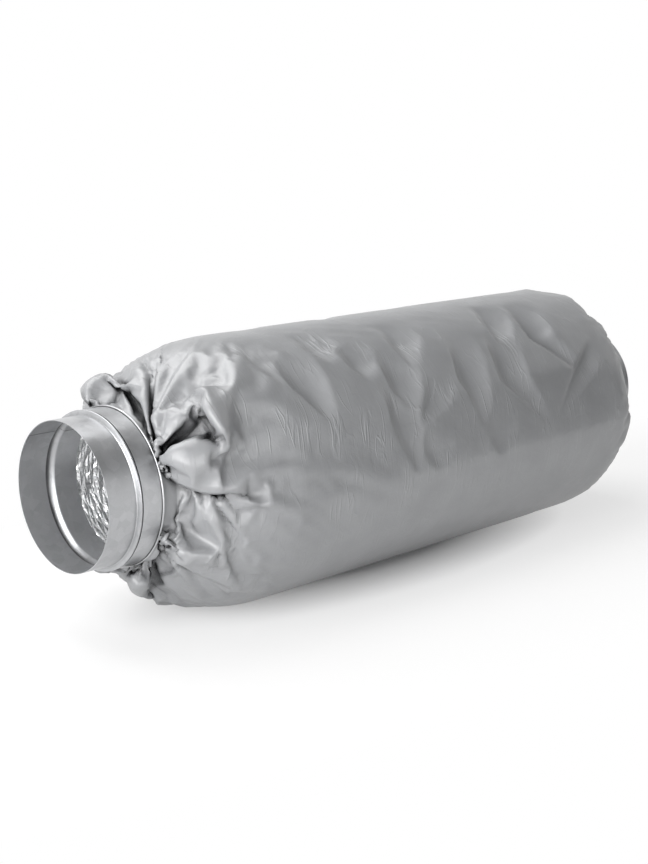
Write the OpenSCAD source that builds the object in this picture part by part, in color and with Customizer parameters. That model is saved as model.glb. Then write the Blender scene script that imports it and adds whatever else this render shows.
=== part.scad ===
// Flexible duct sound attenuator: a perforated foil hose in a wool blanket and a film jacket,
// with a sheet-metal spigot clamped in each end. It lies on its side along X, with the
// origin under its middle on the surface that it rests on.

/* [Duct connection] */
// Bore of the duct that pushes over each spigot
duct_d = 160; // [125:1:200]
// How much smaller a spigot is than the duct's bore
duct_clearance = 0.8; // [0.4:0.1:1.6]
// Length from the rim of one spigot to the rim of the other
overall_l = 900; // [700:10:1200]

/* [Spigots] */
// Thickness of the galvanised sheet
sheet_t = 0.6; // [0.5:0.05:1]
// Length of the free end that goes into the duct
free_l = 33.5; // [25:0.5:60]
// Width of the rolled stop bead
bead_w = 11; // [8:0.5:14]
// Height of the stop bead above the free end
bead_h = 5.5; // [4.5:0.1:7]
// Length of the tail that carries the hose
tail_l = 27; // [24:0.5:40]
// How far the tail is drawn in below the free end
tail_neck = 2; // [1:0.1:4]
// Width of the mash-welded lap along the sheet
lap_w = 12; // [6:1:20]
// How far the lap stands proud of the inside wall
lap_h = 0.3; // [0.15:0.05:0.35]
// How far the lap stops short of the sheet's edges
lap_cut = 1.5; // [0.5:0.5:4]
// Where the laps lie, turned from the top towards +Y
lap_angle = 50; // [0:5:120]

/* [Clamp bands] */
// Width of a clamp band, which starts on the back of the bead
band_w = 26; // [22:0.5:28]
// Thickness of a clamp band
band_t = 0.8; // [0.6:0.1:1.2]
// Outer radius of the rolled edge at the back of a band
band_curl_r = 1.3; // [1:0.1:2]
// Length of the spot-welded overlap of a band
band_lap_l = 26; // [15:1:40]
// Where the overlaps lie, turned from the top towards +Y
band_lap_angle = 150; // [90:5:180]

/* [Foil hose] */
// Thickness of the foil laminate
foil_t = 0.3; // [0.2:0.05:0.6]
// Spacing of the turns of the rib
hose_pitch = 38; // [30:1:60]
// Depth of the helical valley
hose_depth = 2.5; // [1.8:0.1:4]
// Diameter of the spring wire in the valley
wire_d = 1.4; // [1:0.1:1.6]

/* [Blanket] */
// Thickness of the fleece between hose and blanket
fleece_t = 0.5; // [0.3:0.1:1]
// Thickness of the wool above the hose
blanket_t = 51; // [25:1:80]
// How far the blanket hangs below the duct's axis
blanket_drop = 13.5; // [6:0.5:16]
// How far the blanket is pressed flat where it rests
blanket_press = 2.5; // [1:0.1:4]
// Width of the butt joint along the blanket
joint_gap = 1; // [0.5:0.1:3]
// Where the butt joint lies, turned from the top towards +Y
joint_angle = 35; // [0:5:90]

/* [Jacket] */
// Thickness of the film
film_t = 0.6; // [0.4:0.1:1]
// Thickness of the folded film that is gathered under a band
neck_t = 4; // [2:0.1:5]
// Slack between the deepest creases and the blanket
jacket_slack = 1.6; // [1:0.1:6]
// Depth of the flat spot that it rests on, in the round of the jacket
flat_depth = 3.7; // [2.5:0.1:6]
// Length over which the jacket narrows from full width to the neck
shoulder_l = 110; // [80:5:140]
// Number of pleats gathered at each neck
pleats = 14; // [11:1:15]
// Depth of the pleats on the shoulders
pleat_depth = 17; // [6:1:18]
// Depth of the slanting creases on the upper half
crease_depth = 6; // [1:0.5:8]
// Spacing of the slanting creases along the jacket
crease_pitch = 150; // [100:10:250]

/* [Fit] */
// Gap between thin layers that are clamped together
layer_gap = 0.1; // [0.05:0.05:0.2]
// Gap between soft pieces that rest on each other
soft_gap = 0.3; // [0.2:0.05:0.5]

/* [Hidden] */
$fn = 96;
FRONT = -1;
REAR = 1;

// Rows and sides of the meshes for the thin walls
hose_n = 18;
jacket_per_pleat = 4;
jacket_n = pleats * jacket_per_pleat;
shoulder_rows = 6;
body_rows = 12;
spread_slow = 7;
spread_quick = 3;
jacket_step = 360 / jacket_n * (1 + (2 * spread_slow + 5 * spread_quick) * PI / 180);

// Radii from the spigot outwards
spigot_r = (duct_d - duct_clearance) / 2;
tail_r = spigot_r - tail_neck;
hose_r = (tail_r + layer_gap) / cos(180 / hose_n) + foil_t;
valley_r = hose_r - hose_depth;
wire_side = wire_d * sqrt(PI) / 2;
wire_r = valley_r + layer_gap + soft_gap + wire_side / 2;
neck_in_r = (hose_r + layer_gap) / cos(jacket_step / 2);
neck_r = neck_in_r + neck_t;
band_in_r = neck_r + layer_gap;
fleece_r = max(hose_r, wire_r + wire_side) + layer_gap;
blanket_in_r = fleece_r + fleece_t + soft_gap;
blanket_r = blanket_in_r + blanket_t + blanket_drop;
jacket_r = blanket_r + crease_depth + film_t + jacket_slack;

// Radius of the spigot's outer face at share s of the bead, with a steep front and a long back,
// and the share at which the back has fallen to radius r
bead_crest = 0.22;
function bead_r(s) = s < bead_crest
    ? spigot_r + bead_h * (1 - cos(180 * s / bead_crest)) / 2
    : tail_r + (bead_h + tail_neck) * (1 + cos(180 * (s - bead_crest) / (1 - bead_crest))) / 2;
function bead_back(r) =
    bead_crest + (1 - bead_crest) * acos(min(1, 2 * (r - tail_r) / (bead_h + tail_neck) - 1)) / 180;

// Stations along the axis, as distances from the middle
rim_a = overall_l / 2;
bead_front_a = rim_a - free_l;
bead_rear_a = bead_front_a - bead_w;
tail_end_a = bead_rear_a - tail_l;
band_front_a = bead_front_a - bead_w * bead_back(neck_r);
band_rear_a = band_front_a - band_w;
neck_front_a = bead_rear_a - soft_gap - 1;
neck_end_a = band_rear_a - soft_gap;
shoulder_a = neck_end_a - shoulder_l;

// Shares of a pleat's depth in its valley and out on its fold, and how much pleats differ
pleat_in = 0.6;
pleat_out = 1 - pleat_in;
pleat_uneven = 0.45;
deepest_pleat = pleat_depth * pleat_in * (1 + pleat_uneven);

// Heights above the surface that it rests on
blanket_h = film_t + soft_gap + blanket_r - blanket_press;
axis_h = blanket_h + blanket_drop;
jacket_h = jacket_r - flat_depth;

// Turns of the hose's rib: its rows are half a pitch apart and climb one pitch a turn
rib_rows = 2 * floor((2 * tail_end_a - 2 * hose_pitch) / hose_pitch) + 1;
rib_start = -hose_pitch * ((rib_rows - 1) / 2 + (hose_n - 1) / hose_n) / 2;

// Places a child that is turned about Z so that its Z points out along the axis at one end
module at_end(side) {
    translate([0, 0, axis_h])
        mirror([side == FRONT ? 1 : 0, 0, 0])
            rotate([0, 90, 0])
                children();
}

// Turns a child about the axis, from the top towards +Y, before at_end() places it
module turned_to(angle) {
    rotate([0, 0, 180 - angle])
        children();
}

// Outer face of the spigot as [radius, station], moved in by depth, from its rim to the end of its tail
// less a length cut from both
bead_steps = 16;
function spigot_line(depth, cut) = concat(
    [[spigot_r - depth, rim_a - cut]],
    [for (i = [0:bead_steps])
        [bead_r(i / bead_steps) - depth, bead_front_a - bead_w * i / bead_steps]],
    [[tail_r - depth, tail_end_a + cut]]
);

function reversed(list) = [for (i = [len(list) - 1:-1:0]) list[i]];

module spigot_wall(from_depth, to_depth, cut) {
    polygon(concat(spigot_line(from_depth, cut), reversed(spigot_line(to_depth, cut))));
}

// Collar of rolled sheet with its welded lap inside
module spigot(side) {
    lap_turn = lap_w / spigot_r * 180 / PI;
    color("silver")
        at_end(side) {
            rotate_extrude()
                spigot_wall(0, sheet_t, 0);
            turned_to(lap_angle + lap_turn / 2)
                rotate_extrude(angle = lap_turn)
                    spigot_wall(sheet_t / 2, sheet_t + lap_h, lap_cut);
        }
}

// Flat hoop with a rolled back edge and an overlap on the hidden side
module clamp_band(side) {
    lap_turn = band_lap_l / band_in_r * 180 / PI;
    curl_a = band_rear_a + band_curl_r;
    color("gainsboro")
        at_end(side) {
            rotate_extrude()
                union() {
                    translate([band_in_r, curl_a])
                        square([band_t, band_front_a - curl_a]);
                    translate([band_in_r + layer_gap + band_curl_r, curl_a])
                        circle(r = band_curl_r);
                }
            turned_to(band_lap_angle + lap_turn / 2)
                rotate_extrude(angle = lap_turn)
                    translate([band_in_r + band_t / 2, curl_a + band_curl_r + soft_gap])
                        square([band_t * 1.5, band_front_a - curl_a - band_curl_r - 2 * soft_gap]);
        }
}

// Point at a station, radius and turn from the top towards +Y, about an axis at height h
function round_point(x, r, turn, h) = [x, r * sin(turn), h + r * cos(turn)];

// Faces between rings a and b of n points, b lying further along +X, seen from outside
function ring_faces(a, b, n) = [
    for (k = [0:n - 1]) let (m = (k + 1) % n) each [[a + k, a + m, b + m], [a + k, b + m, b + k]]
];

function turned_over(faces) = [for (f = faces) [f[0], f[2], f[1]]];

// Ring k of the hose: a plain sleeve on each spigot, and between them the climbing rows of the rib
function hose_ring(x, r) = [for (k = [0:hose_n - 1]) round_point(x, r, 360 * k / hose_n, axis_h)];
function rib_x(i, k) = rib_start + hose_pitch * (i / 2 + k / hose_n);
function hose_points(depth) = concat(
    hose_ring(-neck_front_a, hose_r - depth),
    hose_ring(-tail_end_a, hose_r - depth),
    [for (i = [0:rib_rows - 1], k = [0:hose_n - 1])
        round_point(rib_x(i, k), (i % 2 == 0 ? valley_r : hose_r) - depth, 360 * k / hose_n, axis_h)],
    hose_ring(tail_end_a, hose_r - depth),
    hose_ring(neck_front_a, hose_r - depth)
);

// Faces of one side of the hose's wall. A row that has gone once round meets the row two further on.
function rib_index(i, k) = hose_n * (2 + (k < hose_n ? i : i + 2)) + k % hose_n;
function rib_quad(i, k) = [
    [rib_index(i, k), rib_index(i, k + 1), rib_index(i + 1, k + 1)],
    [rib_index(i, k), rib_index(i + 1, k + 1), rib_index(i + 1, k)]
];
function hose_faces() =
    let (
        n = hose_n,
        last = rib_rows - 1,
        end_sleeve = n * (2 + rib_rows),
        first_corner = rib_index(0, n - 1),
        last_corner = rib_index(last, 0)
    )
    concat(
        ring_faces(0, n, n),
        [for (k = [0:n - 2]) each [
            [n + k, n + k + 1, rib_index(0, k + 1)], [n + k, rib_index(0, k + 1), rib_index(0, k)]]],
        [[first_corner, 2 * n - 1, n], [first_corner, n, rib_index(0, 0)],
            [first_corner, rib_index(0, 0), rib_index(1, 0)],
            [first_corner, rib_index(1, 0), rib_index(2, 0)]],
        [for (i = [0:last - 1], k = [0:n - 1]) if (k < n - 1 || i + 3 <= last) each rib_quad(i, k)],
        [for (k = [0:n - 2]) each [
            [rib_index(last, k), rib_index(last, k + 1), end_sleeve + k + 1],
            [rib_index(last, k), end_sleeve + k + 1, end_sleeve + k]]],
        [[last_corner, end_sleeve, end_sleeve + n - 1],
            [last_corner, end_sleeve + n - 1, rib_index(last, n - 1)],
            [last_corner, rib_index(last, n - 1), rib_index(last - 1, n - 1)],
            [last_corner, rib_index(last - 1, n - 1), rib_index(last - 2, n - 1)]],
        ring_faces(end_sleeve, end_sleeve + n, n)
    );

// Closed wall from the points and faces of its outer side and the points of its inner side
module thin_wall(outside, inside, faces, n) {
    count = len(outside);
    inner_faces = [for (f = turned_over(faces)) [f[0] + count, f[1] + count, f[2] + count]];
    polyhedron(
        points = concat(outside, inside),
        faces = concat(
            faces, inner_faces,
            ring_faces(count, 0, n),
            ring_faces(count - n, 2 * count - n, n)
        ),
        convexity = 10
    );
}

// Helically ribbed hose of perforated foil, pushed over both spigots' tails
module foil_hose() {
    color("lightsteelblue")
        thin_wall(hose_points(0), hose_points(foil_t), hose_faces(), hose_n);
}

// Spring wire of square section with the round wire's area, wound along the hose's valley
module wire_helix() {
    corners = [[-1, -1], [-1, 1], [1, 1], [1, -1]] * wire_side / 2;
    turns = (rib_rows - 1) / 2;
    steps = turns * hose_n + hose_n - 1;
    points = [for (s = [0:steps], c = corners)
        round_point(rib_start + hose_pitch * s / hose_n + c[1], wire_r + c[0], 360 * s / hose_n, axis_h)];
    color("dimgray")
        polyhedron(
            points = points,
            faces = concat(
                [[3, 2, 1, 0]],
                [for (s = [0:steps - 1], q = [0:3]) let (m = (q + 1) % 4, a = 4 * s) each [
                    [a + q, a + 4 + m, a + 4 + q], [a + q, a + m, a + 4 + m]]],
                [[4 * steps, 4 * steps + 1, 4 * steps + 2, 4 * steps + 3]]
            ),
            convexity = 10
        );
}

// Thin non-woven tube round the hose
module fleece_sleeve() {
    color("whitesmoke")
        at_end(REAR)
            translate([0, 0, -tail_end_a])
                difference() {
                    cylinder(r = fleece_r + fleece_t, h = 2 * tail_end_a);
                    translate([0, 0, -soft_gap])
                        cylinder(r = fleece_r, h = 2 * tail_end_a + 2 * soft_gap);
                }
}

// Profile of the blanket's outer face: straight, with an elliptical shoulder inside the deepest pleats
blanket_shoulder_a = shoulder_a - 2 * deepest_pleat;
blanket_end_a = neck_end_a - 2.4 * deepest_pleat;
shoulder_steps = 10;
module blanket_profile() {
    rise = blanket_r - blanket_in_r;
    reach = blanket_end_a - blanket_shoulder_a;
    shoulder = [for (i = [0:shoulder_steps]) let (s = 90 * i / shoulder_steps)
        [blanket_in_r + rise * cos(s), blanket_shoulder_a + reach * sin(s)]];
    mirrored = [for (p = reversed(shoulder)) [p[0], -p[1]]];
    polygon(concat([[0, -blanket_end_a]], mirrored, shoulder, [[0, blanket_end_a]]));
}

// Wool rolled round the hose, hanging a little low, flat where it rests and butted along one line
module wool_blanket() {
    reach = 2 * blanket_r;
    color("khaki")
        difference() {
            intersection() {
                translate([0, 0, blanket_h])
                    rotate([0, 90, 0])
                        rotate_extrude()
                            blanket_profile();
                translate([-overall_l / 2, -reach / 2, film_t + soft_gap])
                    cube([overall_l, reach, reach]);
            }
            translate([-rim_a, 0, axis_h])
                rotate([0, 90, 0])
                    cylinder(r = blanket_in_r, h = overall_l);
            translate([0, 0, axis_h])
                rotate([-joint_angle, 0, 0])
                    translate([-rim_a, -joint_gap / 2, 0])
                        cube([overall_l, joint_gap, reach]);
        }
}

// Rows of the jacket from the front neck to the rear neck, as [station, shoulder angle, end]:
// the angle is 0 at the neck and 90 where the jacket has its full width
function shoulder_row(s) = shoulder_a + shoulder_l * cos(s);
jacket_rows = concat(
    [[-neck_front_a, 0, FRONT]],
    [for (i = [0:shoulder_rows]) let (s = 90 * i / shoulder_rows) [-shoulder_row(s), s, FRONT]],
    [for (i = [1:body_rows - 1]) [shoulder_a * (2 * i / body_rows - 1), 90, REAR]],
    [for (i = [shoulder_rows:-1:0]) let (s = 90 * i / shoulder_rows) [shoulder_row(s), s, REAR]],
    [[neck_front_a, 0, REAR]]
);

// Turn of point k round the jacket: pleats are gathered unevenly, so the points are spread unevenly
function jacket_turn(k) = let (u = 360 * k / jacket_n)
    u + spread_slow * sin(2 * u + 30) + spread_quick * sin(5 * u);

// Height of a pleat at point k, in its valley or out on its fold, uneven from pleat to pleat
function pleat_shape(k, end) = let (
        m = k + (end == FRONT ? 0 : jacket_per_pleat / 2),
        lift = [-pleat_in, pleat_out / 3, pleat_out, pleat_out / 3][m % jacket_per_pleat]
    )
    lift * (1 + pleat_uneven * sin(137 * floor(m / jacket_per_pleat)));

// Depth of the slanting creases, on the upper half alone: two sets of sharp folds that cross
function sharp_wave(p) = 2 * abs(p - floor(p + 0.5));
function crease(x, turn) = let (
        side = turn > 180 ? turn - 360 : turn,
        upper = min(1, max(0, 1.4 * cos(turn) + 0.15)),
        down = sharp_wave(x / crease_pitch + side / 300),
        across = sharp_wave(x / crease_pitch / 0.62 - side / 130)
    )
    -crease_depth * upper * (0.65 * down + 0.35 * across);

// Outward direction of the shoulder's ellipse at angle s, as [along the axis, away from it]
function shoulder_normal(s) = let (v = [cos(s) / shoulder_l, sin(s) / (jacket_r - neck_r)]) v / norm(v);

// Point k of one row, moved in by the film's thickness for the inner side
function jacket_point(row, k, inner) = let (
        s = row[1],
        end = row[0] < 0 ? -1 : 1,
        turn = jacket_turn(k),
        out = shoulder_normal(s),
        fold = pleat_depth * sin(2 * s) * pleat_shape(k, row[2]),
        move = fold + crease(row[0], turn) * max(0, 2 * sin(s) - 1) - (inner && s > 0 ? film_t : 0),
        neck = inner && s == 0 ? neck_t : 0,
        r = neck_r - neck + (jacket_r - neck_r) * sin(s) + move * (s > 0 ? out[1] : 0),
        h = axis_h + (jacket_h - axis_h) * sin(s),
        p = round_point(row[0] + end * move * (s > 0 ? out[0] : 0), r, turn, h)
    )
    [p[0], p[1], max(p[2], inner ? film_t : 0)];

function jacket_points(inner) = [
    for (row = jacket_rows, k = [0:jacket_n - 1]) jacket_point(row, k, inner)
];

// Film sleeve: gathered in pleats at both necks, creased above and taut below, with a flat spot
module jacket() {
    faces = [for (j = [0:len(jacket_rows) - 2]) each ring_faces(j * jacket_n, (j + 1) * jacket_n, jacket_n)];
    color("darkgray")
        thin_wall(jacket_points(false), jacket_points(true), faces, jacket_n);
}

spigot(FRONT);  // front_spigot
spigot(REAR);  // rear_spigot
clamp_band(FRONT);  // front_clamp_band
clamp_band(REAR);  // rear_clamp_band
foil_hose();
wire_helix();
fleece_sleeve();
wool_blanket();
jacket();
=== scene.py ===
"""Looks of a flexible duct sound attenuator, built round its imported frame.

The sheet-metal spigots and clamp bands are the frame's own. The film jacket is a tube of film that a
cloth simulation gathers on both necks, creased afterwards along the body. The foil hose is a ribbed and
crinkled surface. All sizes are in metres.
"""

import math

import bpy
import numpy as np
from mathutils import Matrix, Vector


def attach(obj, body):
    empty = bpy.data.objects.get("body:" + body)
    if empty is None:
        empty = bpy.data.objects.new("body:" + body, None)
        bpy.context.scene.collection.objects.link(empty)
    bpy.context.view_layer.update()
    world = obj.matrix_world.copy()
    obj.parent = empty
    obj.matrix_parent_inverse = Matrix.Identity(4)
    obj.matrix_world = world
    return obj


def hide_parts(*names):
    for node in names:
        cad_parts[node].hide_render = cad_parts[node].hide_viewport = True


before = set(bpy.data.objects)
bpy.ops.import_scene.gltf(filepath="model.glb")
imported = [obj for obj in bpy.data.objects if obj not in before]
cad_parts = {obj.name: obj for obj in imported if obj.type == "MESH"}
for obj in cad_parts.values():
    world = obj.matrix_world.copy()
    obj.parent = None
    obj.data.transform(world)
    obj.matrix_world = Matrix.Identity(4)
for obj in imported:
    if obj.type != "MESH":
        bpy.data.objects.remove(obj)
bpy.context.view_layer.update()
scene = bpy.context.scene

MM = 0.001

# Places and radii of the frame
AXIS_Z = 0.156499
JACKET_Z = 0.149099
BAND_REAR_X = 0.3855
BAND_R = 0.0865
FILM_END_X = 0.404
NECK_R = 0.0822
HOSE_R = 0.0789
TAIL_R = 0.0778
TAIL_END_X = 0.3785
RIB_PITCH = 0.038
RIB_START_X = -0.340944

# Where the photograph was taken from
CAMERA_AZIMUTH = -44.79
CAMERA_ELEVATION = 12.59
CAMERA_DISTANCE = 1.712
CAMERA_TARGET = Vector((-0.0753, 0.0, 0.1658))
CAMERA_LENS = 59.75


def linear(code):
    """Linear RGBA of an sRGB hex colour.

    Each channel c is c / 12.92 when small, and ((c + 0.055) / 1.055) ^ 2.4 otherwise.
    """
    c = np.array([int(code[i:i + 2], 16) for i in (1, 3, 5)]) / 255
    c = np.where(c <= 0.04045, c / 12.92, ((c + 0.055) / 1.055) ** 2.4)
    return (*c.tolist(), 1.0)


def add(tree, kind, inputs=None, **settings):
    """One new node.

    Settings are its properties. Inputs gives each socket a value or another node's socket.
    """
    made = tree.nodes.new("ShaderNode" + kind)
    for key, value in settings.items():
        setattr(made, key, value)
    for key, value in (inputs or {}).items():
        if isinstance(value, bpy.types.NodeSocket):
            tree.links.new(value, made.inputs[key])
        else:
            made.inputs[key].default_value = value
    return made


def blend(tree, share, first, second):
    """A colour socket: first where the share is 0, second where it is 1, and mixed between."""
    mixed = add(tree, "Mix", {"Factor": share, "A": first, "B": second}, data_type="RGBA")
    return mixed.outputs["Result"]


def open_share_for_painted_shade(tree, reach, covered, clear, only_own):
    """A socket that is 0 where surfaces within reach cover a point, and 1 where it lies open, as the
    mask for painted shade.

    Covered and clear are the shares of open sky that count as 0 and as 1.
    """
    sky = add(tree, "AmbientOcclusion", {"Distance": reach}, samples=8, only_local=only_own)
    share = add(tree, "MapRange", {"Value": sky.outputs["AO"], "From Min": covered, "From Max": clear})
    return share.outputs["Result"]


def blank_material(name):
    """A material with an output node alone, and its node tree."""
    material = bpy.data.materials.new(name)
    material.use_nodes = True
    tree = material.node_tree
    tree.nodes.clear()
    return material, tree, tree.nodes.new("ShaderNodeOutputMaterial")


def tube_mesh(name, points, length, girth):
    """Quad mesh of a grid of points, with rows along the tube and columns that close round it.

    Its UV map is the unrolled tube in metres: u round the tube and v along it.
    """
    rows, columns = points.shape[:2]
    j, k = np.meshgrid(np.arange(rows - 1), np.arange(columns), indexing="ij")
    step = np.array([[0, 0], [1, 0], [1, 1], [0, 1]])
    row = j[..., None] + step[:, 0]
    column = k[..., None] + step[:, 1]
    mesh = bpy.data.meshes.new(name)
    mesh.from_pydata(
        points.reshape(-1, 3).tolist(), [], (row * columns + column % columns).reshape(-1, 4).tolist())
    uv = np.stack([column / columns * girth, length[row]], axis=-1)
    mesh.uv_layers.new(name="unrolled").data.foreach_set("uv", uv.astype(np.float32).ravel())
    mesh.polygons.foreach_set("use_smooth", np.ones(len(mesh.polygons), bool))
    mesh.update()
    piece = bpy.data.objects.new(name, mesh)
    scene.collection.objects.link(piece)
    return piece


def turned(x, radius, angle, height):
    """Points by station, radius and angle from the top towards +Y, round an axis along X at a height."""
    x, radius, angle = np.broadcast_arrays(x, radius, angle)
    return np.stack([x, radius * np.sin(angle), height + radius * np.cos(angle)], axis=-1)


def angle_between(a, b):
    """Difference a - b of two angles, brought to the half turn on either side of zero."""
    return (a - b + np.pi) % (2 * np.pi) - np.pi


# Film jacket: the flat tube, and how it is gathered
FILM_R = 0.1508
FILM_LENGTH = 0.928
FILM_COLUMNS = 192
FILM_FRAMES = 42
GATHER_FRAMES = 28
FRONT, REAR = -1, 1
# Spacing of the simulated film's rows, and how far the close rows reach from each end
FRONT_STEP, BODY_STEP, REAR_STEP = 0.0055, 0.014, 0.009
FRONT_REACH, REAR_REACH = 0.27, 0.22
# Where the film bunches on each neck: angle in degrees and share of the spare film
FRONT_BUNCHES = (
    (-62, 0.42), (-118, 0.14), (-157, 0.16), (15, 0.08), (46, 0.07), (100, 0.06), (165, 0.07))
REAR_BUNCHES = ((-75, 0.2), (-20, 0.15), (30, 0.2), (90, 0.15), (150, 0.15), (-140, 0.15))
BUNCH_SPREAD = math.radians(4)
EVEN_SHARE = 0.58
NECK_SAMPLES = 7201
# Low uneven waves of the flat film: height, numbers round the tube, the strongest number and its spread
WAVE_HEIGHT = 0.002
WAVE_NUMBERS = range(3, 16)
STRONGEST_WAVE = 6
WAVE_SPREAD = 4
# Where the waves start and over how much they grow, as shares of half the length
WAVE_START, WAVE_EASE = 0.55, 0.3
# Folds that start with spare film: angle, station, height, spread of angle and spread along the tube
FRONT_FOLDS = (
    (-34, -0.406, 0.018, 7, 0.035), (-66, -0.400, 0.030, 8, 0.035), (-48, -0.348, 0.032, 6, 0.012),
    (-57, -0.346, 0.024, 4, 0.010), (-126, -0.400, 0.018, 12, 0.045), (-174, -0.416, 0.036, 6, 0.022),
    (36, -0.404, 0.018, 8, 0.030), (100, -0.404, 0.018, 9, 0.035), (150, -0.404, 0.018, 9, 0.035))
# Film tucked in behind the front band: angle and half width in degrees, and length of the tuck
FRONT_TUCKS = ((-48, 5, 0.066), (-100, 10, 0.022), (22, 1.5, 0.045), (54, 1.5, 0.045))
# The way a tuck takes, from the band back along the hose and up the wool: station and radius
TUCK_X = np.array([0.3855, 0.366, 0.352, 0.340, 0.322])
TUCK_R = np.array([0.0822, 0.0835, 0.100, 0.118, 0.136])
TUCK_FAN = 0.1
# Wool form: start and length of each shoulder, radius at its neck and rise from there to the body
FRONT_SHOULDER = (0.235, 0.119, 0.081, 0.0668)
REAR_SHOULDER = (0.292, 0.078, 0.085, 0.0628)
REAR_POWER = 0.6
SHOULDER_ROWS = 24
BODY_ROWS = 28
FORM_COLUMNS = 96
# Collar form: where the hose starts inside the wool, and the rim of the spigot
HOSE_START_X = 0.30
RIM_X = 0.45
# Finished film: spacing up to the rear gather, length and rows of the rear gather, and columns
FINE_STEP = 3.5 * MM
FINE_REAR = 0.25
FINE_REAR_ROWS = 43
FINE_COLUMNS = 200
FILM_WALL = 0.25 * MM
FLOOR_GAP = 0.3 * MM


def film_stations():
    """Stations along the flat tube: closest at the front, wider at the rear, widest on the body."""
    half = FILM_LENGTH / 2
    front = np.arange(-half, -half + FRONT_REACH, FRONT_STEP)
    rear = half - np.arange(0, REAR_REACH, REAR_STEP)[::-1]
    body = np.linspace(front[-1], rear[0], int((rear[0] - front[-1]) / BODY_STEP) + 1)[1:-1]
    return np.concatenate([front, body, rear])


def neck_angle(film_angle, bunches):
    """Angle on the neck for each angle of the flat tube.

    Film per neck angle is an even share plus a bell curve at each bunch. Its running sum is the film
    angle, which is turned round by interpolation.
    """
    neck = np.linspace(-np.pi, np.pi, NECK_SAMPLES)
    film_per_angle = np.full_like(neck, EVEN_SHARE)
    total = sum(share for _, share in bunches)
    for place, share in bunches:
        bell = np.exp(-0.5 * (angle_between(neck, math.radians(place)) / BUNCH_SPREAD) ** 2)
        film_per_angle += (1 - EVEN_SHARE) * share / total * bell * math.sqrt(2 * np.pi) / BUNCH_SPREAD
    middle = (film_per_angle[1:] + film_per_angle[:-1]) / 2 * np.diff(neck)
    film = np.concatenate([[0], np.cumsum(middle)])
    film = film / film[-1] * 2 * np.pi - np.pi
    film -= np.mean(film - neck)
    turns = 2 * np.pi * np.array([[-1], [0], [1]])
    return np.interp(film_angle, (film + turns).ravel(), (neck + turns).ravel())


def flat_film(stations, angles):
    """The tube before it is gathered: a cylinder with bell-shaped folds and low uneven waves."""
    s, a = np.meshgrid(stations, angles, indexing="ij")
    chance = np.random.default_rng(7)
    spare = np.zeros_like(s)
    for end in (FRONT, REAR):
        near_end = np.clip((end * s / (FILM_LENGTH / 2) - WAVE_START) / WAVE_EASE, 0, 1)
        for waves in WAVE_NUMBERS:
            height = WAVE_HEIGHT * chance.normal() / (1 + ((waves - STRONGEST_WAVE) / WAVE_SPREAD) ** 2)
            spare += near_end * height * np.cos(waves * a + chance.uniform(0, 2 * np.pi))
    for place, station, height, spread, along in FRONT_FOLDS:
        across = angle_between(a, math.radians(place)) / math.radians(spread)
        spare += height * np.exp(-0.5 * across ** 2 - 0.5 * ((s - station) / along) ** 2)
    return turned(s, FILM_R + spare, a, JACKET_Z)


def gathered_ends(points, stations, angles):
    """Copy of the flat tube with its ends on the necks and its tucks behind the band, and what is held.

    A tuck follows its way along the hose and up the wool, and fans out from the neck's angles.
    """
    moved = points.copy()
    free_length = FILM_LENGTH / 2 - (FILM_END_X - BAND_REAR_X)
    away = np.abs(stations) - free_length
    held = np.repeat((away >= -1e-9)[:, None], len(angles), axis=1)
    for end, bunches in ((FRONT, FRONT_BUNCHES), (REAR, REAR_BUNCHES)):
        rows = held[:, 0] & (np.sign(stations) == end)
        x = end * (BAND_REAR_X + away[rows])
        moved[rows] = turned(x[:, None], NECK_R, neck_angle(angles, bunches)[None], AXIS_Z)
    way = np.concatenate([[0], np.cumsum(np.hypot(np.diff(TUCK_X), np.diff(TUCK_R)))])
    back = free_length + stations
    fanned = np.clip(back / TUCK_FAN, 0, 1)[:, None]
    tuck_angle = neck_angle(angles, FRONT_BUNCHES) * (1 - fanned) + angles * fanned
    tuck_x = -np.interp(back, way, TUCK_X)[:, None]
    tuck_r = np.interp(back, way, TUCK_R)[:, None]
    tucked = turned(tuck_x, tuck_r, tuck_angle, AXIS_Z)
    for place, half_width, length in FRONT_TUCKS:
        across = np.abs(angle_between(angles, math.radians(place))) <= math.radians(half_width)
        chosen = ((back > 0) & (back <= length))[:, None] & across[None]
        moved[chosen] = tucked[chosen]
        held |= chosen
    return moved, held


def wool_form():
    """What the film is drawn over: a roll with rounded shoulders, fuller at the rear.

    A shoulder is a quarter of an ellipse, station by sine and radius by cosine. At the rear both are
    raised to a power below 1.
    """
    s = np.linspace(0, np.pi / 2, SHOULDER_ROWS)
    start, length, neck, rise = FRONT_SHOULDER
    front_x = -start - length * np.sin(s)
    front_r = neck + rise * np.cos(s)
    start, length, neck, rise = REAR_SHOULDER
    rear_x = start + length * np.sin(s) ** REAR_POWER
    rear_r = neck + rise * np.cos(s) ** REAR_POWER
    body_x = np.linspace(front_x[0], rear_x[0], BODY_ROWS + 2)[1:-1]
    x = np.concatenate([front_x[::-1], body_x, rear_x])
    r = np.concatenate([front_r[::-1], np.full(BODY_ROWS, front_r[0]), rear_r])
    angles = np.linspace(0, 2 * np.pi, FORM_COLUMNS, endpoint=False)
    return tube_mesh("wool form", turned(x[:, None], r[:, None], angles[None], JACKET_Z), x, 1)


def collar_form(end):
    """The hose and the band at one end, as a stepped tube that the film can't pass through."""
    x = end * np.array([HOSE_START_X, BAND_REAR_X - MM, BAND_REAR_X, RIM_X])[::end]
    r = np.array([HOSE_R, HOSE_R, BAND_R, BAND_R])[::end]
    angles = np.linspace(0, 2 * np.pi, FORM_COLUMNS, endpoint=False)
    return tube_mesh("collar form", turned(x[:, None], r[:, None], angles[None], AXIS_Z), x, 1)


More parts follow.
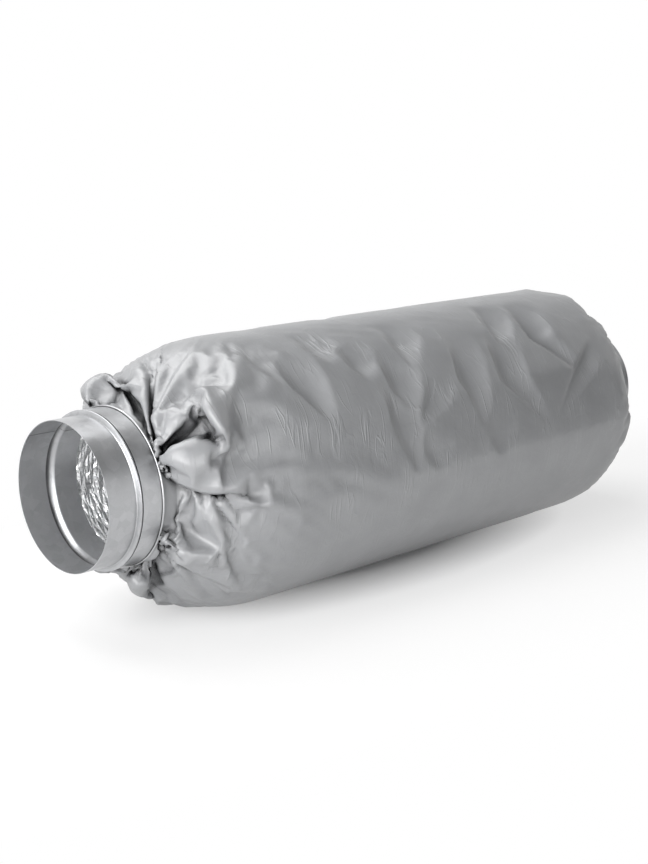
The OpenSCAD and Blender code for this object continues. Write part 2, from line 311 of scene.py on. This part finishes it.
def simulated_film(points, moved, held):
    """The film after its ends are drawn in to the necks over the wool, by cloth simulation."""
    rows, columns = points.shape[:2]
    film = tube_mesh("film", points, np.arange(rows), 1)
    necks = film.vertex_groups.new(name="necks")
    necks.add(np.flatnonzero(held).tolist(), 1.0, "REPLACE")
    film.shape_key_add(name="flat")
    drawn = film.shape_key_add(name="drawn in")
    drawn.data.foreach_set("co", moved.astype(np.float32).ravel())
    drawn.value = 0.0
    drawn.keyframe_insert("value", frame=1)
    drawn.value = 1.0
    drawn.keyframe_insert("value", frame=GATHER_FRAMES)
    forms = [wool_form(), collar_form(FRONT), collar_form(REAR)]
    for form in forms:
        form.modifiers.new("solid", "COLLISION")
        form.collision.thickness_outer = MM
        form.collision.cloth_friction = 5
    cloth = film.modifiers.new("film", "CLOTH")
    cloth.point_cache.frame_end = FILM_FRAMES
    cloth.settings.quality = 6
    cloth.settings.mass = 0.0002
    cloth.settings.tension_stiffness = 50
    cloth.settings.compression_stiffness = 50
    cloth.settings.shear_stiffness = 25
    cloth.settings.bending_stiffness = 4
    cloth.settings.tension_damping = 10
    cloth.settings.compression_damping = 10
    cloth.settings.shear_damping = 10
    cloth.settings.bending_damping = 1
    cloth.settings.air_damping = 2
    cloth.settings.vertex_group_mass = "necks"
    cloth.settings.effector_weights.gravity = 0.0
    cloth.collision_settings.distance_min = 2 * MM
    cloth.collision_settings.use_self_collision = True
    cloth.collision_settings.self_distance_min = 1.4 * MM
    for frame_number in range(1, FILM_FRAMES + 1):
        scene.frame_set(frame_number)
    result = np.empty(rows * columns * 3, np.float32)
    film.evaluated_get(bpy.context.evaluated_depsgraph_get()).data.vertices.foreach_get("co", result)
    for used in [film, *forms]:
        bpy.data.objects.remove(used)
    scene.frame_set(1)
    return result.reshape(rows, columns, 3).astype(float)


def resampled(grid, rows, columns):
    """Grid read at fractional rows and columns by cubic interpolation, wrapping round the columns."""
    def weights(t):
        return np.stack([
            -0.5 * t + t ** 2 - 0.5 * t ** 3, 1 - 2.5 * t ** 2 + 1.5 * t ** 3,
            0.5 * t + 2 * t ** 2 - 1.5 * t ** 3, -0.5 * t ** 2 + 0.5 * t ** 3])

    def read(values, at, wrap):
        first = np.floor(at).astype(int)
        index = first + np.arange(-1, 3)[:, None]
        count = len(values)
        index = index % count if wrap else np.clip(index, 0, count - 1)
        return np.einsum("kn,kn...->n...", weights(at - first), values[index])

    taken = read(grid, rows, False)
    return np.moveaxis(read(np.moveaxis(taken, 1, 0), columns, True), 0, 1)


# Darts of the body: station in mm and angle in degrees from the top down, and full depth in mm
DARTS = (
    (((-254, -20), (-248, -32), (-242, -45)), 9.0),
    (((-221, -33), (-220, -46), (-201, -63)), 21.6),
    (((-163, -20), (-161, -29), (-159, -38)), 9.0),
    (((-124, -34), (-122, -42), (-121, -49)), 10.8),
    (((-78, -41), (-80, -56), (-64, -69)), 18.0),
    (((-98, -56), (-93, -73), (-74, -92)), 18.0),
    (((-31, -22), (-38, -35), (-45, -48)), 10.8),
    (((-30, -59), (-45, -66), (-61, -73)), 10.8),
    (((47, -39), (33, -56), (50, -80)), 16.2),
    (((114, -41), (106, -60), (169, -85)), 21.6),
    (((157, -17), (132, -40), (151, -49)), 16.2),
    (((211, -21), (197, -43), (250, -64)), 25.2),
    (((303, -49), (234, -68), (192, -83)), 14.4),
    (((66, -80), (70, -87), (74, -94)), 9.0),
    (((-52, -80), (-46, -87), (-39, -93)), 9.0),
    (((-190, 12), (-170, 35), (-185, 62)), 18.0),
    (((-60, 8), (-75, 38), (-50, 70)), 18.0),
    (((60, 15), (85, 45), (70, 78)), 18.0),
    (((180, 20), (165, 50), (190, 80)), 19.8))
# Width of a dart's front and rear flanks, and the share of it at the dart's low point
STEEP_FLANK = 0.015
LONG_FLANK = 0.042
POINT_WIDTH = 0.3
# Shares of a dart's length over which it grows and fades, and degrees that it fades beyond its top
GROWING_SHARE = 0.6
FADING_SHARE = 0.5
FADE_BEYOND = 8
# Where the darts end along the body, and over what length they ease off
DARTS_END_X, DARTS_EASE = 0.33, 0.06
# Facets of the round: middle and half width in degrees, and depth in mm, below zero where it swells
FACETS = ((-77, 15, 2.6), (-46, 28, -3.0), (80, 14, 3.2))
# The wool under the film: height of its axis, start and length of its shoulders, neck radius and rise
WOOL_Z = 0.143
WOOL_SHOULDER_X, WOOL_SHOULDER_LENGTH = 0.24, 0.11
WOOL_NECK_R, WOOL_RISE = 0.0808, 0.0638
LEAST_ROOM = 0.2 * MM


def creased(points):
    """Film with the darts of its slack upper half.

    A dart is a valley along a line of station against angle, steep on its front flank and long on its
    rear one. Depth and flanks grow from a point at the low end, and the depth fades out at the top. A
    facet flattens or swells the round between two angles by a parabola. With the room left over the
    wool, a depth d becomes room * (1 - exp(-d / room)), which stops short of it.
    """
    x = points[..., 0]
    y = points[..., 1]
    z = points[..., 2] - JACKET_Z
    angle = np.degrees(np.arctan2(y, z))
    radius = np.hypot(y, z)
    body = np.clip((DARTS_END_X - np.abs(x)) / DARTS_EASE, 0, 1)
    depth = np.zeros_like(x)
    for line, deepest in DARTS:
        place = np.array(line, float)
        side = np.sign(place[0, 1])
        top, tip = place[0, 1] * side, place[-1, 1] * side
        drop = angle * side
        line_x = np.interp(drop, place[:, 1] * side, place[:, 0]) * MM
        grown = np.clip((tip - drop) / (GROWING_SHARE * (tip - top)), 0, 1)
        faded = np.clip((drop - top + FADE_BEYOND) / (FADING_SHARE * (tip - top) + FADE_BEYOND), 0, 1)
        away = (x - line_x) / (POINT_WIDTH + (1 - POINT_WIDTH) * grown)
        valley = np.clip(1 - np.where(away < 0, -away / STEEP_FLANK, away / LONG_FLANK), 0, 1)
        shape = grown * faded * faded * (3 - 2 * faded) * valley
        depth = np.maximum(depth, deepest * MM * shape)
    for middle, half, deepest in FACETS:
        share = np.clip(1 - ((angle - middle) / half) ** 2, 0, 1)
        depth += deepest * MM * share
    shoulder = np.clip((np.abs(x) - WOOL_SHOULDER_X) / WOOL_SHOULDER_LENGTH, 0, 1)
    wool_r = WOOL_NECK_R + WOOL_RISE * np.sqrt(1 - shoulder ** 2)
    wool_gap = np.where(shoulder < 1, np.hypot(y, points[..., 2] - WOOL_Z) - wool_r - MM, 1)
    room = np.maximum(wool_gap, LEAST_ROOM)
    inward = room * (1 - np.exp(-depth * body / room)) + np.minimum(wool_gap, 0)
    shrunk = 1 - inward / radius
    return np.stack([x, y * shrunk, z * shrunk + JACKET_Z], axis=-1)


def film_material():
    """Polyethylene film, blown and pigmented grey: semi-gloss, with fine crinkles and wrinkles, and
    painted shade in its folds.
    """
    material, tree, output = blank_material("grey polyethylene film")
    uv = add(tree, "UVMap", uv_map="unrolled").outputs["UV"]
    # Crinkles about 16 mm across, and drawn lines about 4 mm apart round the tube
    crinkle = add(tree, "TexNoise", {"Vector": uv, "Scale": 1 / (16 * MM), "Detail": 6.0,
                                     "Roughness": 0.55, "Distortion": 0.8})
    lengthwise = add(tree, "Mapping", {"Vector": uv, "Scale": (1 / (60 * MM), 1 / (4 * MM), 1)})
    lines = add(tree, "TexNoise", {"Vector": lengthwise.outputs["Vector"], "Scale": 1.0, "Detail": 2.0})
    cloudy = add(tree, "TexNoise", {"Vector": uv, "Scale": 1 / (55 * MM), "Detail": 3.0})
    # Sharp wrinkles in patches: contour lines of a noise drawn out to about 80 mm by 15 mm
    slanted = add(tree, "Mapping", {"Vector": uv, "Rotation": (0, 0, 0.35),
                                    "Scale": (1 / (80 * MM), 1 / (15 * MM), 1)})
    drape = add(tree, "TexNoise", {"Vector": slanted.outputs["Vector"], "Scale": 1.0, "Detail": 1.5,
                                   "Distortion": 0.4})
    signed = add(tree, "Math", {0: drape.outputs["Fac"], 1: 0.5}, operation="SUBTRACT")
    off_line = add(tree, "Math", {0: signed.outputs[0]}, operation="ABSOLUTE")
    edges = add(tree, "MapRange", {"Value": off_line.outputs[0], "From Max": 0.035,
                                   "To Min": 1.0, "To Max": 0.0})
    patches = add(tree, "MapRange", {"Value": cloudy.outputs["Fac"], "From Min": 0.45, "From Max": 0.62})
    wrinkles = add(tree, "Math", {0: edges.outputs["Result"], 1: patches.outputs["Result"]},
                   operation="MULTIPLY")
    sharp = add(tree, "Bump", {"Height": wrinkles.outputs[0], "Strength": 0.5, "Distance": 0.8 * MM})
    tone = add(tree, "MapRange", {"Value": cloudy.outputs["Fac"], "From Min": 0.3, "From Max": 0.7})
    shade = blend(tree, tone.outputs["Result"], linear("#8a8b8d"), linear("#949597"))
    # Painted shade: folds are darker and duller where other film within 30 mm covers them
    free_of_painted_shade = open_share_for_painted_shade(tree, 30 * MM, 0.3, 0.62, True)
    painted_shade_colour = blend(tree, free_of_painted_shade, linear("#1c1c1d"), shade)
    shine_under_painted_shade = add(tree, "Math", {0: free_of_painted_shade, 1: 0.8}, operation="MULTIPLY")
    gloss = add(tree, "MapRange", {"Value": crinkle.outputs["Fac"], "To Min": 0.30, "To Max": 0.42})
    fine = add(tree, "Bump", {"Height": lines.outputs["Fac"], "Strength": 0.3, "Distance": 0.5 * MM,
                              "Normal": sharp.outputs["Normal"]})
    bump = add(tree, "Bump", {"Height": crinkle.outputs["Fac"], "Strength": 0.4, "Distance": 1.2 * MM,
                              "Normal": fine.outputs["Normal"]})
    shader = add(tree, "BsdfPrincipled", {
        "Base Color": painted_shade_colour, "Roughness": gloss.outputs["Result"], "IOR": 1.51,
        "Specular IOR Level": shine_under_painted_shade.outputs[0], "Normal": bump.outputs["Normal"]})
    tree.links.new(shader.outputs["BSDF"], output.inputs["Surface"])
    return material


def film_spacing():
    """Stations of the finished film: close together up to the rear gather, and wider there."""
    half = FILM_LENGTH / 2
    front = np.arange(-half, half - FINE_REAR, FINE_STEP)
    return np.concatenate([front, np.linspace(front[-1], half, FINE_REAR_ROWS)[1:]])


def film_jacket():
    """The film tube, gathered, read at a fine spacing, creased and given its thickness."""
    stations = film_stations()
    angles = np.linspace(-np.pi, np.pi, FILM_COLUMNS, endpoint=False)
    flat = flat_film(stations, angles)
    moved, held = gathered_ends(flat, stations, angles)
    film = simulated_film(flat, moved, held)
    fine_stations = film_spacing()
    rows = np.interp(fine_stations, stations, np.arange(len(stations)))
    film = resampled(film, rows, np.arange(0, FILM_COLUMNS, FILM_COLUMNS / FINE_COLUMNS))
    film = creased(film)
    film[..., 2] = np.maximum(film[..., 2], FLOOR_GAP)
    piece = tube_mesh("jacket_film", film, fine_stations, 2 * np.pi * FILM_R)
    wall = piece.modifiers.new("thickness", "SOLIDIFY")
    wall.thickness = FILM_WALL
    wall.offset = -1
    piece.data.materials.append(film_material())
    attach(piece, "root")
    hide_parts("jacket")


# Foil hose: grid, and the length over which it widens from the spigot's tail
FOIL_ROWS = 320
FOIL_COLUMNS = 192
TAIL_EASE = 6 * MM
# Rib of the hose: height, half width, turns to either side of the middle, and run-out at its ends
RIB_HEIGHT = 2.3 * MM
RIB_HALF_WIDTH = 3 * MM
RIB_TURNS = 9
RIB_RUN_OUT = 10 * MM
# Crinkles of the foil: number of waves, longest and shortest, height, and where the valleys are cut off
CRINKLE_WAVES = 22
LONGEST_CRINKLE, SHORTEST_CRINKLE = 26 * MM, 9 * MM
CRINKLE_HEIGHT = 0.08 * MM
CRINKLE_FLOOR = -3


def foil_material():
    """Aluminium foil laminate: bright, hand-crinkled, with needle perforations in rows."""
    material, tree, output = blank_material("perforated aluminium foil laminate")
    uv = add(tree, "UVMap", uv_map="unrolled").outputs["UV"]
    # Facets of the crinkled foil about 15 mm round the hose by 6 mm, and finer ones about 4 mm across
    drawn = add(tree, "Mapping", {"Vector": uv, "Scale": (1 / (15 * MM), 1 / (6 * MM), 1)})
    facets = add(tree, "TexVoronoi", {"Vector": drawn.outputs["Vector"], "Scale": 1.0},
                 feature="F1", distance="MANHATTAN")
    small = add(tree, "TexNoise", {"Vector": uv, "Scale": 1 / (4 * MM), "Detail": 2.0},
                noise_type="RIDGED_MULTIFRACTAL", normalize=True)
    # Perforations 0.9 mm wide on a 5 mm grid
    holes = add(tree, "TexVoronoi", {"Vector": uv, "Scale": 1 / (5 * MM), "Randomness": 0.0})
    pierced = add(tree, "MapRange", {"Value": holes.outputs["Distance"],
                                     "From Min": 0.08, "From Max": 0.11})
    shade = blend(tree, pierced.outputs["Result"], linear("#2b2b2c"), linear("#f4f5f6"))
    fine = add(tree, "Bump", {"Height": small.outputs["Fac"], "Strength": 0.7, "Distance": 0.8 * MM})
    bump = add(tree, "Bump", {"Height": facets.outputs["Distance"], "Strength": 1.0,
                              "Distance": 4.5 * MM, "Normal": fine.outputs["Normal"]})
    shader = add(tree, "BsdfPrincipled", {
        "Base Color": shade, "Metallic": 0.6, "Roughness": 0.14, "Normal": bump.outputs["Normal"]})
    tree.links.new(shader.outputs["BSDF"], output.inputs["Surface"])
    return material


def foil_hose():
    """Ribbed hose: a tube with a narrow inward rib along a helix, and low sharp crinkles.

    The rib is a bell curve of the distance from the helix. The crinkles are a sum of triangle waves in
    chance directions, which meet in sharp folds.
    """
    x = np.linspace(-FILM_END_X, FILM_END_X, FOIL_ROWS)
    angles = np.linspace(0, 2 * np.pi, FOIL_COLUMNS, endpoint=False)
    s, a = np.meshgrid(x, angles, indexing="ij")
    turns = (s - RIB_START_X) / RIB_PITCH - a / (2 * np.pi)
    away = (turns - np.round(turns)) * RIB_PITCH
    free = np.clip((TAIL_END_X - TAIL_EASE - np.abs(s)) / TAIL_EASE, 0, 1)
    from_middle = np.abs(s - RIB_PITCH * (a / (2 * np.pi) - 0.5))
    ribbed = np.clip((RIB_PITCH * RIB_TURNS - from_middle) / RIB_RUN_OUT, 0, 1)
    rib = RIB_HEIGHT * np.exp(-(away / RIB_HALF_WIDTH) ** 2) * ribbed
    chance = np.random.default_rng(11)
    crinkle = np.zeros_like(s)
    for _ in range(CRINKLE_WAVES):
        waves = chance.uniform(1 / LONGEST_CRINKLE, 1 / SHORTEST_CRINKLE)
        slant = chance.uniform(0, np.pi)
        round_trips = np.round(waves * math.sin(slant) * 2 * np.pi * HOSE_R)
        phase = waves * math.cos(slant) * s + round_trips * a / (2 * np.pi) + chance.uniform()
        crinkle += 2 * np.abs(phase - np.floor(phase + 0.5)) - 0.5
    raised = rib + CRINKLE_HEIGHT * np.maximum(crinkle - CRINKLE_FLOOR, 0)
    radius = HOSE_R - (HOSE_R - TAIL_R) * (1 - free) - free * raised
    piece = tube_mesh("foil_lining", turned(s, radius, a, AXIS_Z), x, 2 * np.pi * HOSE_R)
    piece.data.materials.append(foil_material())
    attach(piece, "root")
    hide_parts("foil_hose")


def zinc_material(name, light, dark, rough):
    """Hot-dip galvanised sheet, skin-passed: dull metal with faint spangle and fine speckled grain, and
    painted shade in its grooves.
    """
    material, tree, output = blank_material(name)
    place = add(tree, "TexCoord").outputs["Object"]
    # Spangle about 9 mm across, and grain drawn 1.1 mm across so that it shows
    spangle = add(tree, "TexVoronoi", {"Vector": place, "Scale": 1 / (9 * MM)})
    grain = add(tree, "TexNoise", {"Vector": place, "Scale": 1 / (1.1 * MM), "Detail": 3.0,
                                   "Roughness": 0.7})
    worn = add(tree, "TexNoise", {"Vector": place, "Scale": 1 / (30 * MM), "Detail": 4.0})
    cell = add(tree, "SeparateColor", {"Color": spangle.outputs["Color"]})
    mixed = add(tree, "Mix", {"Factor": 0.35, "A": grain.outputs["Fac"], "B": cell.outputs["Red"]})
    shade = blend(tree, mixed.outputs["Result"], linear(dark), linear(light))
    gloss = add(tree, "MapRange", {"Value": worn.outputs["Fac"], "From Min": 0.3, "From Max": 0.7,
                                   "To Min": rough - 0.06, "To Max": rough + 0.08})
    # Painted shade: grooves are darker where other surfaces within 8 mm cover them
    painted_shade_colour = blend(tree, open_share_for_painted_shade(tree, 8 * MM, 0.45, 0.8, False), linear("#2c2c2d"), shade)
    bump = add(tree, "Bump", {"Height": grain.outputs["Fac"], "Strength": 0.12, "Distance": 0.1 * MM})
    shader = add(tree, "BsdfPrincipled", {
        "Base Color": painted_shade_colour, "Metallic": 0.8, "Roughness": gloss.outputs["Result"],
        "Normal": bump.outputs["Normal"]})
    tree.links.new(shader.outputs["BSDF"], output.inputs["Surface"])
    return material


def fibre_material(name, light, dark, fibre):
    """Matted fibres: a rough soft mass whose strands, of the given width, cross in all directions."""
    material, tree, output = blank_material(name)
    place = add(tree, "TexCoord").outputs["Object"]
    strands = add(tree, "TexNoise", {"Vector": place, "Scale": 1 / fibre, "Detail": 6.0,
                                     "Roughness": 0.75, "Distortion": 1.6})
    shade = blend(tree, strands.outputs["Fac"], linear(dark), linear(light))
    bump = add(tree, "Bump", {"Height": strands.outputs["Fac"], "Strength": 0.8, "Distance": fibre / 2})
    shader = add(tree, "BsdfPrincipled", {
        "Base Color": shade, "Roughness": 0.95, "Sheen Weight": 0.3, "Normal": bump.outputs["Normal"]})
    tree.links.new(shader.outputs["BSDF"], output.inputs["Surface"])
    return material


def wire_material():
    """Drawn spring wire: dark bare steel with faint lines from the die."""
    material, tree, output = blank_material("drawn spring steel wire")
    place = add(tree, "TexCoord").outputs["Object"]
    drawn = add(tree, "TexNoise", {"Vector": place, "Scale": 1 / (0.6 * MM), "Detail": 2.0})
    gloss = add(tree, "MapRange", {"Value": drawn.outputs["Fac"], "To Min": 0.25, "To Max": 0.45})
    shade = blend(tree, drawn.outputs["Fac"], linear("#8b8c8e"), linear("#a7a8aa"))
    shader = add(tree, "BsdfPrincipled", {
        "Base Color": shade, "Metallic": 1.0, "Roughness": gloss.outputs["Result"]})
    tree.links.new(shader.outputs["BSDF"], output.inputs["Surface"])
    return material


def finish_frame():
    """Gives each frame node that stays in view its material."""
    spigot = zinc_material("galvanised spigot sheet", "#c4c5c7", "#a4a5a7", 0.36)
    band = zinc_material("galvanised band strip", "#c8c9cb", "#acadaf", 0.34)
    finishes = {
        "front_spigot": spigot,
        "rear_spigot": spigot,
        "front_clamp_band": band,
        "rear_clamp_band": band,
        "wire_helix": wire_material(),
        "fleece_sleeve": fibre_material("non-woven polyester fleece", "#eeeeea", "#cfcfc9", 0.8 * MM),
        "wool_blanket": fibre_material("bonded mineral wool", "#cdb774", "#8f7a3e", 2.5 * MM),
    }
    for node, material in finishes.items():
        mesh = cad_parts[node].data
        mesh.materials.clear()
        mesh.materials.append(material)


# Studio: corners of the dark card, half the floor's width, and the ceiling's height and half width
DARK_CARD = [(0.3, -0.72, 0), (2.6, -0.72, 0), (2.6, -0.95, 0.85), (0.3, -0.95, 0.85)]
FLOOR_HALF = 9
CEILING_Z = 2.7
CEILING_HALF = 4
# Light of the surroundings on the object, where what is seen of them is 1
FILL_LIGHT = 0.06
# Lamps: name, place, what it is aimed at, width and watts
LAMPS = (
    ("overhead softbox", (-0.2, 0.8, 1.8), (0.1, 0, 0.15), 1.8, 38),
    ("left softbox", (-2.1, -0.2, 1.1), (-0.4, 0, 0.15), 1.5, 38),
    ("front softbox", (-0.9, -2.2, 0.35), (-0.05, 0, 0.1), 1.0, 14),
    ("mouth softbox", (-1.6, -0.8, 0.35), (-0.42, 0, 0.15), 0.5, 8))


def seen_directly(tree):
    """A socket that is 1 for what is seen, also in a mirror or through glass, and 0 for other light."""
    path = add(tree, "LightPath")
    mirrored = add(tree, "Math", {0: path.outputs["Is Camera Ray"], 1: path.outputs["Is Glossy Ray"]},
                   operation="MAXIMUM")
    through = add(tree, "Math", {0: mirrored.outputs[0], 1: path.outputs["Is Transmission Ray"]},
                  operation="MAXIMUM")
    return through.outputs[0]


def flat_card(name, corners, material):
    """A plain four-cornered card of the studio, which isn't part of the object."""
    mesh = bpy.data.meshes.new(name)
    mesh.from_pydata(corners, [], [(0, 1, 2, 3)])
    mesh.materials.append(material)
    card = bpy.data.objects.new(name, mesh)
    scene.collection.objects.link(card)
    return card


def studio_floor():
    """White floor that shines where it is seen, apart from the object's shadow."""
    paper, tree, output = blank_material("white studio paper")
    matt = add(tree, "BsdfDiffuse", {"Color": linear("#f4f4f4")})
    glow = add(tree, "Emission", {"Color": linear("#ffffff"), "Strength": 1.0})
    # The shadow is kept close to the object, within an oval as long as it
    place = add(tree, "TexCoord").outputs["Object"]
    oval = add(tree, "Mapping", {"Vector": place, "Scale": (0.38, 1, 1)})
    reach = add(tree, "VectorMath", {0: oval.outputs["Vector"]}, operation="LENGTH")
    fading = add(tree, "MapRange", {"Value": reach.outputs["Value"], "From Min": 0.1, "From Max": 0.42,
                                    "To Min": 0.6, "To Max": 1.0})
    # Under the body itself the paper is as dark as its shadow
    clear = add(tree, "MapRange", {"Value": reach.outputs["Value"], "From Min": 0.05, "From Max": 0.14})
    lit = add(tree, "Math", {0: fading.outputs["Result"], 1: clear.outputs["Result"]},
              operation="MULTIPLY")
    share = add(tree, "Math", {0: lit.outputs[0], 1: seen_directly(tree)}, operation="MULTIPLY")
    mixed = add(tree, "MixShader", {"Fac": share.outputs[0], 1: matt.outputs["BSDF"],
                                    2: glow.outputs["Emission"]})
    tree.links.new(mixed.outputs["Shader"], output.inputs["Surface"])
    w = FLOOR_HALF
    flat_card("floor", [(-w, -w, 0), (w, -w, 0), (w, w, 0), (-w, w, 0)], paper)


def studio_cards():
    """A dark card in front that only reflections see, and a grey ceiling."""
    felt, tree, output = blank_material("dark studio felt")
    dull = add(tree, "Emission", {"Color": linear("#5c5c5c"), "Strength": 1.0})
    tree.links.new(dull.outputs["Emission"], output.inputs["Surface"])
    card = flat_card("dark card", DARK_CARD, felt)
    card.visible_camera = False
    card.visible_diffuse = False
    card.visible_shadow = False

    plaster, tree, output = blank_material("grey ceiling plaster")
    dull = add(tree, "BsdfDiffuse", {"Color": linear("#9a9a9a")})
    tree.links.new(dull.outputs["BSDF"], output.inputs["Surface"])
    w, z = CEILING_HALF, CEILING_Z
    flat_card("ceiling", [(-w, -w, z), (-w, w, z), (w, w, z), (w, -w, z)], plaster)


def studio_lights():
    """White surroundings that give little light of their own, and soft lamps."""
    world = bpy.data.worlds.new("white studio")
    scene.world = world
    world.use_nodes = True
    tree = world.node_tree
    tree.nodes.clear()
    level = add(tree, "MapRange", {"Value": seen_directly(tree), "To Min": FILL_LIGHT, "To Max": 1.0})
    white = add(tree, "Background", {"Color": linear("#ffffff"), "Strength": level.outputs["Result"]})
    output = tree.nodes.new("ShaderNodeOutputWorld")
    tree.links.new(white.outputs["Background"], output.inputs["Surface"])

    for name, place, aim, size, power in LAMPS:
        data = bpy.data.lights.new(name, "AREA")
        data.size = size
        data.energy = power
        lamp = bpy.data.objects.new(name, data)
        lamp.location = place
        lamp.rotation_euler = (Vector(place) - Vector(aim)).to_track_quat("Z", "Y").to_euler()
        scene.collection.objects.link(lamp)


def photo_camera():
    """A camera at the photograph's viewing angle."""
    azimuth = math.radians(CAMERA_AZIMUTH)
    elevation = math.radians(CAMERA_ELEVATION)
    level = math.cos(elevation)
    back = Vector((math.sin(azimuth) * level, -math.cos(azimuth) * level, math.sin(elevation)))
    data = bpy.data.cameras.new("photo camera")
    data.lens = CAMERA_LENS
    camera = bpy.data.objects.new("photo camera", data)
    camera.location = CAMERA_TARGET + back * CAMERA_DISTANCE
    camera.rotation_euler = back.to_track_quat("Z", "Y").to_euler()
    scene.collection.objects.link(camera)
    scene.camera = camera


scene.view_settings.view_transform = "Standard"
film_jacket()
foil_hose()
finish_frame()
studio_floor()
studio_cards()
studio_lights()
photo_camera()
